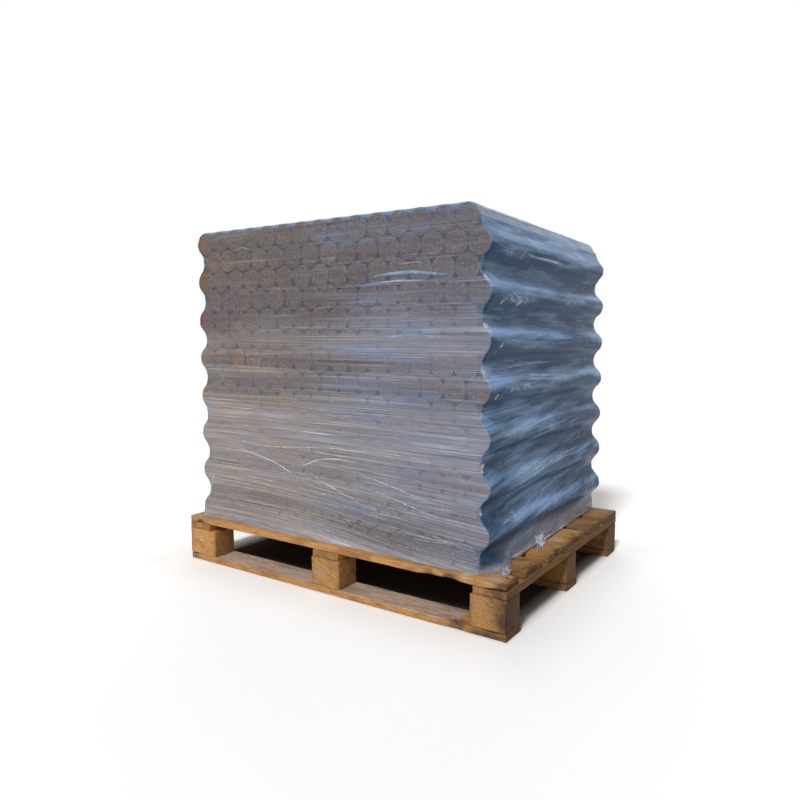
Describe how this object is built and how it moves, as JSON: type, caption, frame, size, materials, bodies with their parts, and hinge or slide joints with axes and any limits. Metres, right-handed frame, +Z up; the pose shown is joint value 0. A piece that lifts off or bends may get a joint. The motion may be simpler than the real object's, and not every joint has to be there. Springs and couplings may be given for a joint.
{
  "type": "stretch wrapped pallet load of pressed wood logs",
  "caption": "Nested rows of round pressed wood logs on a wooden block pallet, held together by one clear stretch film wrap.",
  "frame": {"origin": "on the floor, under the middle of the pallet", "axes": "+X along the pallet's long side, to the right seen from the front; +Y from the front, where the log ends show, to the back; +Z up"},
  "size_m": [1.2, 0.8001, 1.0677],
  "materials": {
    "pallet_wood": "rough sawn softwood, weathered and stained",
    "pressed_wood": "compressed sawdust, speckled and matte",
    "stretch_film": "clear polythene stretch film, creased and glossy"
  },
  "bodies": {
    "root": {"block_back_left": "pallet_wood", "block_back_middle": "pallet_wood", "block_back_right": "pallet_wood", "block_front_left": "pallet_wood", "block_front_middle": "pallet_wood", "block_front_right": "pallet_wood", "block_middle_left": "pallet_wood", "block_middle_middle": "pallet_wood", "block_middle_right": "pallet_wood", "bottom_board_back": "pallet_wood", "bottom_board_front": "pallet_wood", "bottom_board_middle": "pallet_wood", "cross_board_left": "pallet_wood", "cross_board_middle": "pallet_wood", "cross_board_right": "pallet_wood", "deck_board_1": "pallet_wood", "deck_board_2": "pallet_wood", "deck_board_3": "pallet_wood", "deck_board_4": "pallet_wood", "deck_board_5": "pallet_wood", "deck_board_6": "pallet_wood", "film_wrap": "stretch_film", "log_row_01": "pressed_wood", "log_row_02": "pressed_wood", "log_row_03": "pressed_wood", "log_row_04": "pressed_wood", "log_row_05": "pressed_wood", "log_row_06": "pressed_wood", "log_row_07": "pressed_wood", "log_row_08": "pressed_wood", "log_row_09": "pressed_wood", "log_row_10": "pressed_wood", "log_row_11": "pressed_wood", "log_row_12": "pressed_wood", "log_row_13": "pressed_wood", "log_row_14": "pressed_wood", "log_row_15": "pressed_wood"}
  },
  "joints": []
}
